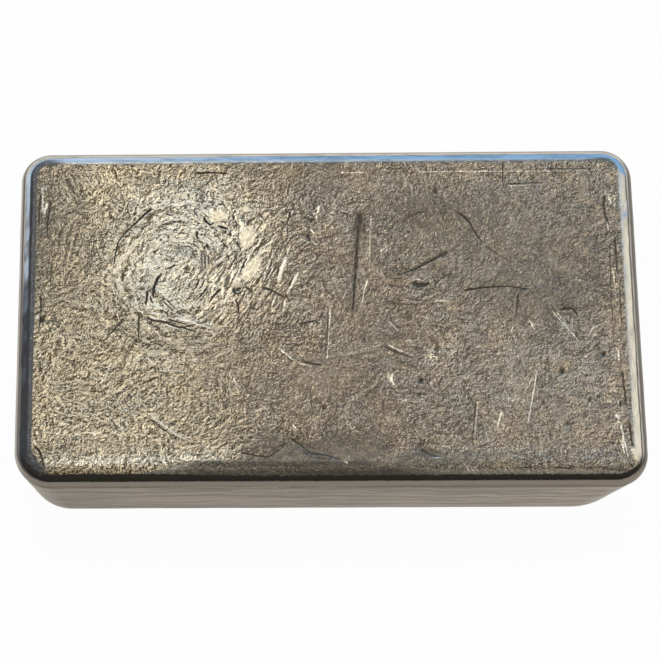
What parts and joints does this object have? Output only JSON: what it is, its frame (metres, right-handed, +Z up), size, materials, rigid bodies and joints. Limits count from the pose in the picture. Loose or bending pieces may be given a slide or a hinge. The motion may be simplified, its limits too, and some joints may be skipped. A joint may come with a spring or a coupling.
{
  "type": "silver bar",
  "caption": "Cast silver bar: a plain drafted slab with soft corners, a rolled shoulder and a rough, scratched face, lying on its base.",
  "frame": {"origin": "middle of the base, on the surface that the bar lies on", "axes": "+X along the bar's length, +Y across its width towards the back, +Z up out of the cast face"},
  "size_m": [0.143, 0.082, 0.0266],
  "materials": {
    "cast_silver": "cast silver, crinkled and scratched on the face, smooth and shiny on the shoulder, satin on the walls"
  },
  "bodies": {
    "root": {"silver_bar": "cast_silver"}
  },
  "joints": []
}
